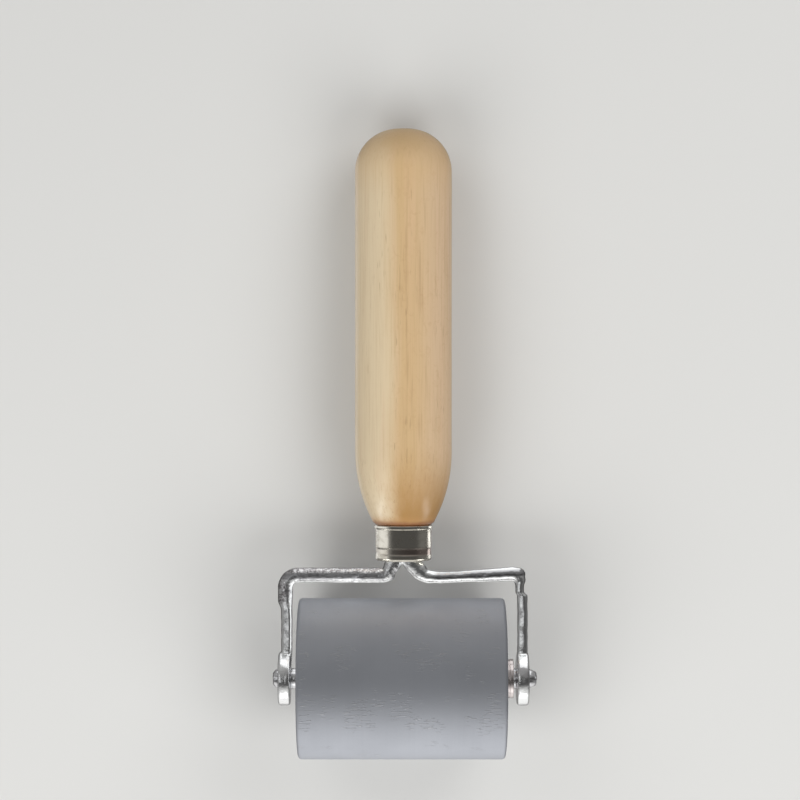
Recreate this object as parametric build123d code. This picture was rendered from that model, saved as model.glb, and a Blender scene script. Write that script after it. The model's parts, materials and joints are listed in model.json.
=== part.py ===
from build123d import *
import math
import os

# Seam roller: a turned wooden handle, a forged steel yoke and a solid aluminium drum that
# turns on two shielded ball bearings. Millimetres and degrees.
#
# Each piece is drawn in the tool's own axes: X along the axle, Y from the axle along the
# handle, Z square to the yoke, with 0 on the axle midway between the yoke's ears.
# lay_down() then turns it into the part's axes: the tool lies on a flat surface, on its
# drum and on the rounding of the handle's end, with 0 on that surface under the axle.

# Drum
DRUM_R = 25.0
DRUM_LENGTH = 64.3
DRUM_MIDDLE_X = -0.55
DRUM_EDGE_R = 1.3
DRUM_BORE_R = 6.65

# Ball bearings, inch series: 1/4 in bore, 5/8 in outside, 0.196 in wide
BEARING_BORE_R = 3.175
BEARING_OUTSIDE_R = 7.9375
BEARING_WIDTH = 4.978
BEARING_INSET = 0.5
INNER_LAND_R = 4.75
OUTER_LAND_R = 6.35
PITCH_R = 5.555
BALL_R = 1.1905
BALL_COUNT = 8
RACE_CLEARANCE = 0.02
RING_CHAMFER = 0.25
SHIELD_SEAT_R = 6.85
SHIELD_SEAT_DEPTH = 0.62
SHIELD_THICKNESS = 0.22
SHIELD_INNER_R = 4.9
SNAP_RING_WIRE = 0.3
SNAP_RING_GAP_DEG = 28.0
CAGE_INNER_R = 4.98
CAGE_OUTER_R = 6.12
CAGE_WIDTH = 3.2
CAGE_POCKET_R = 1.25

# Parts between the bearings and the ears
SLEEVE_R = 4.5
COLLAR_R = 6.1
COLLAR_WIDTH = 2.7
COLLAR_BOSS_R = 4.4
COLLAR_CHAMFER = 0.3

# Fits
RUNNING_CLEARANCE = 0.02
SEAT_GAP = 0.01

# Yoke
EAR_R = 8.25
EAR_INNER_X = 35.3
EAR_THICKNESS = 3.3
EAR_EDGE_R = 0.5
ROD_R = 2.35
PRONG_R = 2.05
RIGHT_NECK_R = 1.75
LEFT_BAR_Y = 32.35
RIGHT_BAR_Y = 32.7
RIGHT_BAR_ROOT_Y = 31.7
RIGHT_BAR_KNEE_X = 10.3
CORNER_BEND_R = 4.0
PRONG_X = 3.2
PRONG_START_Y = 38.4
LEFT_PRONG_SPLAY = 0.9
RIGHT_PRONG_INSET = 0.9
RIGHT_PRONG_SPLAY = 1.6
LEFT_ELBOW_BEND_R = 2.5
RIGHT_ELBOW_BEND_R = 3.6
RIGHT_KNEE_BEND_R = 20.0
STRAP_DEPTH = 6.8
STRAP_CORNER_R = 1.2
ROUND_END_Y = 25.0
STRAP_START_Y = 18.5
SHOULDER_HALF_WIDTH = 5.2
SHOULDER_HALF_DEPTH = 2.9
SHOULDER_START_Y = 37.2
TANG_START_Y = 39.2
TANG_END_Y = 99.0
TANG_R = 3.95
TANG_TIP = 3.0
BARB_PITCH = 7.5
BARB_DEPTH = 0.45
BARB_FIRST_Y = 52.0
BARB_STEP = 0.3
BARB_RAMP_SHARE = 0.6
TANG_POINT_R = 1.8
TANG_OVERLAP = 0.5

# Axle
JOURNAL_R = 2.38
EAR_HOLE_R = 2.4
LEFT_HEAD_R = 2.85
LEFT_HEAD_HEIGHT = 1.8
RIGHT_HEAD_R = 2.875
RIGHT_HEAD_TIP_R = 1.9
RIGHT_HEAD_HEIGHT = 2.9
RIGHT_HEAD_BASE = 0.5
DOME_SHARE = 0.74

# Ferrule
FERRULE_R = 8.75
FERRULE_WALL = 0.7
FERRULE_START_Y = 36.9
FERRULE_END_Y = 48.3
FERRULE_MOUTH_R = 5.9
FERRULE_LIP_DROP = 0.8
FERRULE_CORNER_R = 0.9
BEAD_R = 0.75
BEAD_STAND = 0.45
FERRULE_RIM = 0.3

# Handle
HANDLE_R = 15.15
HANDLE_END_Y = 171.6
BUTT_CORNER_R = 13.2
TAPER_END_Y = 71.3
TAPER_ARC_R = 47.7
TENON_R = 8.0
TENON_END_Y = 39.3
TANG_BORE_R = 4.0
TANG_BORE_END_Y = 101.0

# Worked out from the sizes above
DRUM_LEFT_X = DRUM_MIDDLE_X - DRUM_LENGTH / 2
DRUM_RIGHT_X = DRUM_MIDDLE_X + DRUM_LENGTH / 2
EAR_OUTER_X = EAR_INNER_X + EAR_THICKNESS
UPRIGHT_X = EAR_INNER_X + EAR_THICKNESS / 2
SHANK_R = BEARING_BORE_R - RUNNING_CLEARANCE
LEFT_BEARING_X = DRUM_LEFT_X + BEARING_INSET + BEARING_WIDTH / 2
RIGHT_BEARING_X = DRUM_RIGHT_X - BEARING_INSET - BEARING_WIDTH / 2
BUTT_ARC_Y = HANDLE_END_Y - BUTT_CORNER_R
BUTT_FLAT_R = HANDLE_R - BUTT_CORNER_R

# The tool tips about its drum until the rounding of the handle's end is on the surface
TILT = math.degrees(
    math.asin((DRUM_R - BUTT_CORNER_R) / math.hypot(BUTT_ARC_Y, BUTT_FLAT_R))
    - math.atan2(BUTT_FLAT_R, BUTT_ARC_Y)
)


def lay_down(shape):
    return Location((0, 0, DRUM_R), (-TILT, 0, 0)) * shape


def turned_on_axle(outline):
    """A solid of revolution about the axle, from (x, radius) points."""
    return revolve(make_face(Polyline(outline, close=True)), axis=Axis.X)


def ring(start_x, end_x, inner_r, outer_r):
    """A plain ring about the axle."""
    return turned_on_axle([(start_x, inner_r), (start_x, outer_r), (end_x, outer_r), (end_x, inner_r)])


def outer_rims(body):
    """The circular edges of the largest radius on a turned piece."""
    return body.edges().filter_by(GeomType.CIRCLE).group_by(SortBy.RADIUS)[-1]


def race_groove(middle_x):
    """The round groove that the balls run in, as a torus to cut from a ring."""
    return Pos(middle_x, 0, 0) * Rot(0, 90, 0) * Torus(PITCH_R, BALL_R + RACE_CLEARANCE)


def drum():
    body = ring(DRUM_LEFT_X, DRUM_RIGHT_X, DRUM_BORE_R, DRUM_R)
    body = fillet(outer_rims(body), DRUM_EDGE_R)
    pocket_depth = BEARING_INSET + BEARING_WIDTH
    pocket_r = BEARING_OUTSIDE_R + SEAT_GAP
    body -= ring(DRUM_LEFT_X, DRUM_LEFT_X + pocket_depth, DRUM_BORE_R / 2, pocket_r)
    body -= ring(DRUM_RIGHT_X - pocket_depth, DRUM_RIGHT_X, DRUM_BORE_R / 2, pocket_r)
    return body


def outer_ring(middle_x):
    half = BEARING_WIDTH / 2
    body = ring(middle_x - half, middle_x + half, OUTER_LAND_R, BEARING_OUTSIDE_R)
    body = chamfer(outer_rims(body), RING_CHAMFER)
    for end in (-1, 1):
        near = middle_x + end * (half - SHIELD_SEAT_DEPTH)
        face = middle_x + end * half
        body -= ring(min(near, face), max(near, face), OUTER_LAND_R / 2, SHIELD_SEAT_R)
    return body - race_groove(middle_x)


def inner_ring(middle_x):
    half = BEARING_WIDTH / 2
    body = ring(middle_x - half, middle_x + half, BEARING_BORE_R, INNER_LAND_R)
    body = chamfer(outer_rims(body), RING_CHAMFER / 2)
    return body - race_groove(middle_x)


def shield(middle_x, end):
    """A dished disc that closes one side of a bearing, with end -1 for its left side."""
    seat = middle_x + end * (BEARING_WIDTH / 2 - SHIELD_SEAT_DEPTH + SEAT_GAP)
    dish = end * SHIELD_THICKNESS / 2
    thick = end * SHIELD_THICKNESS
    step_r = (SHIELD_INNER_R + SHIELD_SEAT_R) / 2
    outline = [
        (seat, SHIELD_SEAT_R - RUNNING_CLEARANCE),
        (seat, step_r + SHIELD_THICKNESS),
        (seat + dish, step_r),
        (seat + dish, SHIELD_INNER_R),
        (seat + dish + thick, SHIELD_INNER_R),
        (seat + dish + thick, step_r),
        (seat + thick, step_r + SHIELD_THICKNESS),
        (seat + thick, SHIELD_SEAT_R - RUNNING_CLEARANCE),
    ]
    return turned_on_axle(outline)


def snap_ring(middle_x, end):
    """The split wire ring that holds a shield in its seat."""
    wire_r = SNAP_RING_WIRE / 2
    seat = BEARING_WIDTH / 2 - SHIELD_SEAT_DEPTH + SEAT_GAP + SHIELD_THICKNESS
    wire_x = middle_x + end * (seat + wire_r + SEAT_GAP)
    coil_r = SHIELD_SEAT_R - RUNNING_CLEARANCE - wire_r
    section = Pos(wire_x, coil_r, 0) * Circle(wire_r)
    return revolve(section, axis=Axis.X, revolution_arc=360 - SNAP_RING_GAP_DEG)


def around_race(shape, middle_x, index):
    """A shape drawn at the top of the race, moved to one ball's place."""
    return Pos(middle_x, 0, 0) * Rot(index * 360 / BALL_COUNT, 0, 0) * shape


def balls(middle_x):
    ball = Pos(0, PITCH_R, 0) * Sphere(BALL_R)
    return Compound(children=[around_race(ball, middle_x, i) for i in range(BALL_COUNT)])


def cage(middle_x):
    half = CAGE_WIDTH / 2
    body = ring(middle_x - half, middle_x + half, CAGE_INNER_R, CAGE_OUTER_R)
    pocket = Pos(0, PITCH_R, 0) * Rot(90, 0, 0) * Cylinder(CAGE_POCKET_R, 2 * BALL_R)
    for index in range(BALL_COUNT):
        body -= around_race(pocket, middle_x, index)
    return body


def spacer_sleeve():
    half = BEARING_WIDTH / 2
    return ring(LEFT_BEARING_X + half, RIGHT_BEARING_X - half, BEARING_BORE_R, SLEEVE_R)


def thrust_collar():
    """A collar against the right bearing's inner ring, with a boss that reaches into the drum."""
    boss = ring(DRUM_RIGHT_X - BEARING_INSET, DRUM_RIGHT_X, BEARING_BORE_R, COLLAR_BOSS_R)
    flange = ring(DRUM_RIGHT_X, DRUM_RIGHT_X + COLLAR_WIDTH, BEARING_BORE_R, COLLAR_R)
    return boss + chamfer(outer_rims(flange), COLLAR_CHAMFER)


def axle():
    """A shouldered pin, peened over outside both ears."""
    shoulder_x = EAR_INNER_X - SEAT_GAP
    head_x = EAR_OUTER_X + SEAT_GAP
    dome_x = head_x + LEFT_HEAD_HEIGHT
    tip_x = head_x + RIGHT_HEAD_HEIGHT
    corners = [
        (-head_x, LEFT_HEAD_R),
        (-head_x, JOURNAL_R),
        (-shoulder_x, JOURNAL_R),
        (-shoulder_x, SHANK_R),
        (shoulder_x, SHANK_R),
        (shoulder_x, JOURNAL_R),
        (head_x, JOURNAL_R),
        (head_x, RIGHT_HEAD_R),
        (head_x + RIGHT_HEAD_BASE, RIGHT_HEAD_R),
        (tip_x, RIGHT_HEAD_TIP_R),
        (tip_x, 0),
        (-dome_x, 0),
    ]
    dome_side = (-head_x - LEFT_HEAD_HEIGHT * DOME_SHARE, LEFT_HEAD_R * DOME_SHARE)
    outline = Polyline(corners) + ThreePointArc(corners[-1], dome_side, corners[0])
    return revolve(make_face(outline), axis=Axis.X)


def rod(path, girths):
    """Drawn-down round bar along a path, from (share of the path, radius) pairs."""
    sections = [
        Plane(origin=path @ share, x_dir=(0, 0, 1), z_dir=path % share) * Circle(radius)
        for share, radius in girths
    ]
    return sweep(sections=sections, path=path, multisection=True)


def left_arm():
    path = FilletPolyline(
        (-PRONG_X, PRONG_START_Y),
        (-PRONG_X - LEFT_PRONG_SPLAY, LEFT_BAR_Y),
        (-UPRIGHT_X, LEFT_BAR_Y),
        (-UPRIGHT_X, ROUND_END_Y),
        radius=[LEFT_ELBOW_BEND_R, CORNER_BEND_R],
    )
    return rod(path, [(0, PRONG_R), (0.2, ROD_R), (1, ROD_R)])


def right_arm():
    path = FilletPolyline(
        (PRONG_X - RIGHT_PRONG_INSET, PRONG_START_Y),
        (PRONG_X + RIGHT_PRONG_SPLAY, RIGHT_BAR_ROOT_Y),
        (RIGHT_BAR_KNEE_X, RIGHT_BAR_ROOT_Y),
        (UPRIGHT_X, RIGHT_BAR_Y),
        (UPRIGHT_X, ROUND_END_Y),
        radius=[RIGHT_ELBOW_BEND_R, RIGHT_KNEE_BEND_R, CORNER_BEND_R],
    )
    return rod(path, [(0, PRONG_R), (0.25, RIGHT_NECK_R), (0.7, ROD_R), (1, ROD_R)])


def strap(side):
    """The upright's flattened lower end and its round ear, with side -1 for the left."""
    level = Plane(origin=(side * UPRIGHT_X, 0, 0), x_dir=(1, 0, 0), z_dir=(0, 1, 0))
    flat = RectangleRounded(EAR_THICKNESS, STRAP_DEPTH, STRAP_CORNER_R)
    neck = loft([
        level * Pos(0, 0, STRAP_START_Y) * flat,
        level * Pos(0, 0, ROUND_END_Y) * Circle(ROD_R),
    ])
    blade = extrude(level * flat, STRAP_START_Y)
    disc = Rot(0, 90, 0) * Cylinder(EAR_R, EAR_THICKNESS)
    disc = fillet(disc.edges().filter_by(GeomType.CIRCLE), EAR_EDGE_R)
    hole = Rot(0, 90, 0) * Cylinder(EAR_HOLE_R, 2 * EAR_THICKNESS)
    ear_place = Pos(side * UPRIGHT_X, 0, 0)
    return neck + blade + ear_place * disc - ear_place * hole


def tang():
    """The barbed spike that is driven into the handle, with its shoulder."""
    shoulder = Plane(origin=(0, SHOULDER_START_Y, 0), x_dir=(1, 0, 0), z_dir=(0, 1, 0))
    body = extrude(
        shoulder * Ellipse(SHOULDER_HALF_WIDTH, SHOULDER_HALF_DEPTH),
        TANG_START_Y - SHOULDER_START_Y,
    )
    outline = [(0, TANG_START_Y - TANG_OVERLAP), (TANG_R, TANG_START_Y - TANG_OVERLAP)]
    barb_y = BARB_FIRST_Y
    while barb_y + BARB_PITCH < TANG_END_Y - TANG_TIP:
        outline.append((TANG_R, barb_y))
        outline.append((TANG_R - BARB_DEPTH, barb_y + BARB_STEP))
        outline.append((TANG_R, barb_y + BARB_PITCH * BARB_RAMP_SHARE))
        barb_y += BARB_PITCH
    outline.append((TANG_R, TANG_END_Y - TANG_TIP))
    outline.append((TANG_POINT_R, TANG_END_Y))
    outline.append((0, TANG_END_Y))
    spike = revolve(make_face(Polyline(outline, close=True)), axis=Axis.Y)
    return body + spike


def fork():
    return left_arm() + right_arm() + strap(-1) + strap(1) + tang()


def ferrule():
    """A pressed cap with a turned-in mouth for the yoke and a rolled bead at its top."""
    inner_r = FERRULE_R - FERRULE_WALL
    lip_r = FERRULE_R - FERRULE_CORNER_R
    lip_y = FERRULE_START_Y + FERRULE_LIP_DROP
    wall_y = lip_y + FERRULE_CORNER_R
    diagonal = FERRULE_CORNER_R * math.sqrt(0.5)
    bead_y = FERRULE_END_Y - BEAD_R - FERRULE_RIM
    mouth_y = FERRULE_START_Y + FERRULE_WALL
    outline = Polyline((FERRULE_MOUTH_R, mouth_y), (FERRULE_MOUTH_R, FERRULE_START_Y), (lip_r, lip_y))
    outline += ThreePointArc((lip_r, lip_y), (lip_r + diagonal, wall_y - diagonal), (FERRULE_R, wall_y))
    outline += Line((FERRULE_R, wall_y), (FERRULE_R, bead_y - BEAD_R))
    outline += ThreePointArc(
        (FERRULE_R, bead_y - BEAD_R),
        (FERRULE_R + BEAD_STAND, bead_y),
        (FERRULE_R, bead_y + BEAD_R),
    )
    outline += Polyline(
        (FERRULE_R, bead_y + BEAD_R),
        (FERRULE_R, FERRULE_END_Y),
        (inner_r, FERRULE_END_Y),
        (inner_r, lip_y + FERRULE_WALL),
        (FERRULE_MOUTH_R, mouth_y),
    )
    return revolve(make_face(outline), axis=Axis.Y)


def handle():
    """A turned handle with a tenon for the ferrule and a bore for the tang."""
    foot_y = FERRULE_END_Y + SEAT_GAP
    run = TAPER_END_Y - foot_y
    foot_r = HANDLE_R - TAPER_ARC_R + math.sqrt(TAPER_ARC_R ** 2 - run ** 2)
    half_run = run / 2
    waist_r = HANDLE_R - TAPER_ARC_R + math.sqrt(TAPER_ARC_R ** 2 - half_run ** 2)
    diagonal = BUTT_CORNER_R * math.sqrt(0.5)
    outline = Polyline((0, TENON_END_Y), (TENON_R, TENON_END_Y), (TENON_R, foot_y), (foot_r, foot_y))
    outline += ThreePointArc(
        (foot_r, foot_y),
        (waist_r, TAPER_END_Y - half_run),
        (HANDLE_R, TAPER_END_Y),
    )
    outline += Line((HANDLE_R, TAPER_END_Y), (HANDLE_R, BUTT_ARC_Y))
    outline += ThreePointArc(
        (HANDLE_R, BUTT_ARC_Y),
        (BUTT_FLAT_R + diagonal, BUTT_ARC_Y + diagonal),
        (BUTT_FLAT_R, HANDLE_END_Y),
    )
    outline += Polyline((BUTT_FLAT_R, HANDLE_END_Y), (0, HANDLE_END_Y), (0, TENON_END_Y))
    body = revolve(make_face(outline), axis=Axis.Y)
    bore = Pos(0, TANG_BORE_END_Y / 2, 0) * Rot(90, 0, 0) * Cylinder(TANG_BORE_R, TANG_BORE_END_Y)
    return body - bore


def pieces():
    """Every piece by name, in the tool's own axes."""
    made = {
        "handle": handle(),
        "ferrule": ferrule(),
        "fork": fork(),
        "axle": axle(),
        "drum": drum(),
        "spacer_sleeve": spacer_sleeve(),
        "thrust_collar": thrust_collar(),
    }
    for side, middle_x, outboard in (("left", LEFT_BEARING_X, -1), ("right", RIGHT_BEARING_X, 1)):
        made[f"{side}_outer_ring"] = outer_ring(middle_x)
        made[f"{side}_inner_ring"] = inner_ring(middle_x)
        made[f"{side}_balls"] = balls(middle_x)
        made[f"{side}_cage"] = cage(middle_x)
        for place, end in (("outboard", outboard), ("inboard", -outboard)):
            made[f"{side}_{place}_shield"] = shield(middle_x, end)
            made[f"{side}_{place}_snap_ring"] = snap_ring(middle_x, end)
    return made


os.makedirs("parts", exist_ok=True)
for name, piece in pieces().items():
    export_step(lay_down(piece), f"parts/{name}.step")
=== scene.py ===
import json
import math

import bmesh
import bpy
from mathutils import Matrix, Vector, noise


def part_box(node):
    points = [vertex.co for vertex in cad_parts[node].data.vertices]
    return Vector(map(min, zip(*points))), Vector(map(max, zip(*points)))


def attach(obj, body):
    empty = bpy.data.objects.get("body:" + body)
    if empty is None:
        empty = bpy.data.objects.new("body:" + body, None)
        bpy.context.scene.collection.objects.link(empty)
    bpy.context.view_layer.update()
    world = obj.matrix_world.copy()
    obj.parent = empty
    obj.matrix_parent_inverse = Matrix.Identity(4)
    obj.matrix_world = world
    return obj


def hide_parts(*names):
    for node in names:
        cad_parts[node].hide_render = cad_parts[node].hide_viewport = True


# Seam roller: looks for a turned wooden handle, a plated ferrule, a forged yoke and a satin
# drum on shielded ball bearings. Lengths are millimetres in the tool's own axes, X along the
# axle, Y from the axle along the handle and Z square to the yoke, until a mesh is made. In
# the materials, places are metres in a piece's own axes and noise scales are repeats a metre.

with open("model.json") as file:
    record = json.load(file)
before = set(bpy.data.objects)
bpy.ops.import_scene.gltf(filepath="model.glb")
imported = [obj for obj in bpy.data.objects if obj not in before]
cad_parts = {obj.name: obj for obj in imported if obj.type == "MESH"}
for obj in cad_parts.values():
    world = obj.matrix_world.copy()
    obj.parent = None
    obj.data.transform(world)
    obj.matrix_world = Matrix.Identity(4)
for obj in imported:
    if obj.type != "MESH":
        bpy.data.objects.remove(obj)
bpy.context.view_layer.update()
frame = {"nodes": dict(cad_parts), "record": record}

MM = 0.001

# ---------------------------------------------------------------- places, from the frame

grip = next(m for m in frame["record"]["mounts"] if m["name"] == "grip")
drum_low, drum_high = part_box("drum")
axle_low, axle_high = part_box("axle")
collar_low, collar_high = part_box("thrust_collar")

ACROSS = Vector((1, 0, 0))
ALONG = Vector(grip["axis"]).normalized()
DEPTH = ACROSS.cross(ALONG)
AXLE = Vector((0, (drum_low.y + drum_high.y) / 2, (drum_low.z + drum_high.z) / 2))
TOOL = Matrix.Translation(AXLE) @ Matrix((ACROSS, ALONG, DEPTH)).transposed().to_4x4()

DRUM_R = (drum_high.y - drum_low.y) / 2 / MM
DRUM_LEFT = drum_low.x / MM
DRUM_RIGHT = drum_high.x / MM
COLLAR_R = (collar_high.y - collar_low.y) / 2 / MM
COLLAR_LEFT = collar_low.x / MM
COLLAR_RIGHT = collar_high.x / MM
AXLE_LEFT = axle_low.x / MM
AXLE_RIGHT = axle_high.x / MM
HANDLE_R = grip["dims"]["r_mm"]
GRIP_LENGTH = grip["dims"]["length_mm"]
GRIP_MIDDLE = (Vector(grip["pos_m"]) - AXLE).length / MM
GRIP_START = GRIP_MIDDLE - GRIP_LENGTH / 2
GRIP_END = GRIP_MIDDLE + GRIP_LENGTH / 2

# ---------------------------------------------------------------- mesh helpers

# A section's point with a smaller radius than this is one point on the axis.
ON_AXIS = 1e-6
# A corner that turns less than this, in radians, isn't rounded.
STRAIGHT = 0.05
# The share of a side that one rounded corner may take.
MOST_OF_SIDE = 0.45


def arc(middle, radius, start_deg, end_deg, steps=8):
    """Points of a round stretch in a section, angles from the first axis."""
    points = []
    for i in range(steps + 1):
        angle = math.radians(start_deg + (end_deg - start_deg) * i / steps)
        points.append((middle[0] + radius * math.cos(angle), middle[1] + radius * math.sin(angle)))
    return points


def refined(points, longest):
    """The same section with no stretch longer than asked."""
    out = []
    for (a0, a1), (b0, b1) in zip(points, points[1:]):
        count = max(1, math.ceil(math.hypot(b0 - a0, b1 - a1) / longest))
        out += [(a0 + (b0 - a0) * i / count, a1 + (b1 - a1) * i / count) for i in range(count)]
    out.append(points[-1])
    return out


def rounded(points, radius, steps=4, closed=False):
    """A section with its corners rounded; a shorter side limits the radius."""
    count = len(points)
    out = []
    for i, here in enumerate(points):
        if not closed and i in (0, count - 1):
            out.append(here)
            continue
        here = Vector(here)
        back = Vector(points[i - 1]) - here
        on = Vector(points[(i + 1) % count]) - here
        turn = math.pi - back.angle(on)
        if turn < STRAIGHT:
            out.append(tuple(here))
            continue
        cut = min(radius * math.tan(turn / 2), back.length * MOST_OF_SIDE, on.length * MOST_OF_SIDE)
        start = here + back.normalized() * cut
        end = here + on.normalized() * cut
        for k in range(steps + 1):
            t = k / steps
            out.append(tuple(start * (1 - t) ** 2 + here * 2 * t * (1 - t) + end * t ** 2))
    return out


def new_piece(name, bm, body, node, material, smooth_deg=35):
    """Makes the piece in the tool's axes, on its body, in place of its CAD node."""
    bmesh.ops.recalc_face_normals(bm, faces=bm.faces)
    for face in bm.faces:
        face.smooth = True
    for edge in bm.edges:
        if len(edge.link_faces) == 2 and edge.calc_face_angle(0) > math.radians(smooth_deg):
            edge.smooth = False
    mesh = bpy.data.meshes.new(name)
    bm.to_mesh(mesh)
    bm.free()
    mesh.materials.append(material)
    piece = bpy.data.objects.new(name, mesh)
    bpy.context.collection.objects.link(piece)
    piece.matrix_world = TOOL
    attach(piece, body)
    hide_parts(node)
    return piece


def skin(bm, low, high):
    """Faces between two rings, either of which may be a single point."""
    sides = max(len(low), len(high))
    for j in range(sides):
        k = (j + 1) % sides
        if len(low) == 1:
            bm.faces.new((low[0], high[j], high[k]))
        elif len(high) == 1:
            bm.faces.new((low[j], low[k], high[0]))
        else:
            bm.faces.new((low[j], low[k], high[k], high[j]))


def lathe(section, sides, about, closed=False, shape=None):
    """A turned mesh from (place, radius) points; shape(place, radius, angle) may move a point."""
    bm = bmesh.new()
    rings = []
    for place, radius in section:
        if radius < ON_AXIS:
            at = (place, 0, 0) if about == "axle" else (0, place, 0)
            rings.append([bm.verts.new(Vector(at) * MM)])
            continue
        ring = []
        for j in range(sides):
            angle = 2 * math.pi * j / sides
            x, r = shape(place, radius, angle) if shape else (place, radius)
            side, up = r * math.cos(angle), r * math.sin(angle)
            at = (x, side, up) if about == "axle" else (side, x, up)
            ring.append(bm.verts.new(Vector(at) * MM))
        rings.append(ring)
    for low, high in zip(rings, rings[1:]):
        skin(bm, low, high)
    if closed:
        skin(bm, rings[-1], rings[0])
    return bm


# ---------------------------------------------------------------- material helpers


def srgb(red, green, blue):
    """A linear colour from 0 to 255 display values."""
    def linear(value):
        value /= 255
        return value / 12.92 if value <= 0.04045 else ((value + 0.055) / 1.055) ** 2.4
    return (linear(red), linear(green), linear(blue), 1.0)


# The sockets of a Mix node that blends colours.
MIX_SHARE = 0
MIX_FIRST = 6
MIX_SECOND = 7
MIX_RESULT = 2


class Surface:
    """A Principled material with a few shorthand ways to add nodes."""

    def __init__(self, name, colour, metallic=0.0, roughness=0.5):
        self.material = bpy.data.materials.new(name)
        self.material.use_nodes = True
        self.nodes = self.material.node_tree.nodes
        self.links = self.material.node_tree.links
        self.shader = self.nodes["Principled BSDF"]
        self.shader.inputs["Base Color"].default_value = colour
        self.shader.inputs["Metallic"].default_value = metallic
        self.shader.inputs["Roughness"].default_value = roughness
        self.place = self.nodes.new("ShaderNodeTexCoord").outputs["Object"]

    def node(self, kind, inputs, **settings):
        """A new node; each of its inputs is a socket to link or a plain value."""
        made = self.nodes.new(kind)
        for key, value in settings.items():
            setattr(made, key, value)
        for key, value in inputs.items():
            if isinstance(value, bpy.types.NodeSocket):
                self.links.new(value, made.inputs[key])
            else:
                made.inputs[key].default_value = value
        return made

    def axis(self, letter):
        return self.node("ShaderNodeSeparateXYZ", {"Vector": self.place}).outputs[letter]

    def noise(self, scale, detail=3.0, roughness=0.5, distortion=0.0, offset=(0, 0, 0)):
        """Noise with its own scale, in repeats a metre, along each axis."""
        mapping = {"Vector": self.place, "Scale": scale, "Location": offset}
        inputs = {
            "Vector": self.node("ShaderNodeMapping", mapping).outputs["Vector"],
            "Scale": 1.0,
            "Detail": detail,
            "Roughness": roughness,
            "Distortion": distortion,
        }
        return self.node("ShaderNodeTexNoise", inputs).outputs["Fac"]

    def ramp(self, value, low, high, start=0.0, end=1.0):
        """value from low..high smoothly to start..end, held beyond them."""
        inputs = {"Value": value, "From Min": low, "From Max": high, "To Min": start, "To Max": end}
        made = self.node("ShaderNodeMapRange", inputs, interpolation_type="SMOOTHSTEP")
        return made.outputs["Result"]

    def math(self, operation, first, second):
        return self.node("ShaderNodeMath", {0: first, 1: second}, operation=operation).outputs[0]

    def plus(self, first, second):
        return self.math("ADD", first, second)

    def times(self, first, second):
        """One mask where another holds too, or at a share of its strength."""
        return self.math("MULTIPLY", first, second)

    def most(self, first, second):
        """The larger of two values, or a mask where either of two holds."""
        return self.math("MAXIMUM", first, second)

    def mix(self, share, first, second):
        """The first colour where share is 0 and the second where it is 1."""
        inputs = {MIX_SHARE: share, MIX_FIRST: first, MIX_SECOND: second}
        return self.node("ShaderNodeMix", inputs, data_type="RGBA").outputs[MIX_RESULT]

    def colour(self, socket):
        self.links.new(socket, self.shader.inputs["Base Color"])

    def roughness(self, socket):
        self.links.new(socket, self.shader.inputs["Roughness"])

    def bump(self, *layers):
        """Height layers as (socket, depth in mm)."""
        normal = None
        for height, depth in layers:
            inputs = {"Height": height, "Distance": depth * MM, "Strength": 1.0}
            if normal is not None:
                inputs["Normal"] = normal
            normal = self.node("ShaderNodeBump", inputs).outputs["Normal"]
        self.links.new(normal, self.shader.inputs["Normal"])


# ---------------------------------------------------------------- wood

LACQUER = {"Coat Weight": 0.5, "Coat Roughness": 0.2, "Specular IOR Level": 0.4}
SAPWOOD = srgb(217, 198, 165)
HEARTWOOD = srgb(203, 173, 130)
PINK_SIDE = srgb(211, 184, 152)
PINK_BANDS = srgb(212, 180, 147)
TAN_CLOUDS = srgb(198, 168, 122)
FIBRE_LINES = srgb(180, 148, 106)
FLECKS = srgb(182, 144, 104)
RING_LINES = srgb(166, 132, 92)
PORES = srgb(146, 116, 80)
FOOT_STAIN = srgb(164, 123, 66)
LOW_STAIN = srgb(187, 140, 86)
SEAM_STAIN = srgb(128, 76, 46)
BUTT_SHADE = srgb(199, 167, 122)


def wood():
    s = Surface("lacquered_maple", srgb(214, 190, 156), roughness=0.5)
    for socket, value in LACQUER.items():
        s.shader.inputs[socket].default_value = value
    broad = s.noise((70, 8, 70), detail=3, roughness=0.6, distortion=0.5)
    bands = s.noise((240, 6, 240), detail=3, roughness=0.6, distortion=0.8, offset=(0.3, 0, 0.7))
    fibres = s.noise((1700, 30, 1700), detail=5, roughness=0.65)
    pores = wood_pores(s)
    across = s.plus(s.axis("X"), s.times(broad, 0.012))
    heart = s.ramp(across, -0.002, 0.006)
    # A pale sapwood side, a tan middle and a pinkish far side, as one board's rings give.
    colour = s.mix(heart, SAPWOOD, HEARTWOOD)
    colour = s.mix(s.times(s.ramp(across, 0.008, 0.017), 0.8), colour, PINK_SIDE)
    colour = s.mix(s.ramp(bands, 0.42, 0.74, 0.0, 0.5), colour, PINK_BANDS)
    colour = s.mix(s.ramp(broad, 0.5, 0.72, 0.0, 0.35), colour, TAN_CLOUDS)
    colour = s.mix(s.ramp(fibres, 0.45, 0.85, 0.0, 0.5), colour, FIBRE_LINES)
    colour = wood_marks(s, colour, heart)
    colour = s.mix(s.times(pores, 0.35), colour, PORES)
    s.colour(wood_stains(s, colour, across, bands))
    s.roughness(s.ramp(fibres, 0.3, 0.8, 0.42, 0.58))
    s.bump((fibres, 0.03), (pores, -0.03), (broad, 0.25))
    return s.material


def wood_pores(s):
    """Fine short pores, in patches."""
    pores = s.noise((2300, 170, 2300), detail=1, offset=(3, 1, 2))
    patches = s.noise((120, 30, 120), detail=1, offset=(5, 4, 1))
    return s.times(s.ramp(pores, 0.64, 0.72), s.ramp(patches, 0.44, 0.6))


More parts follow.
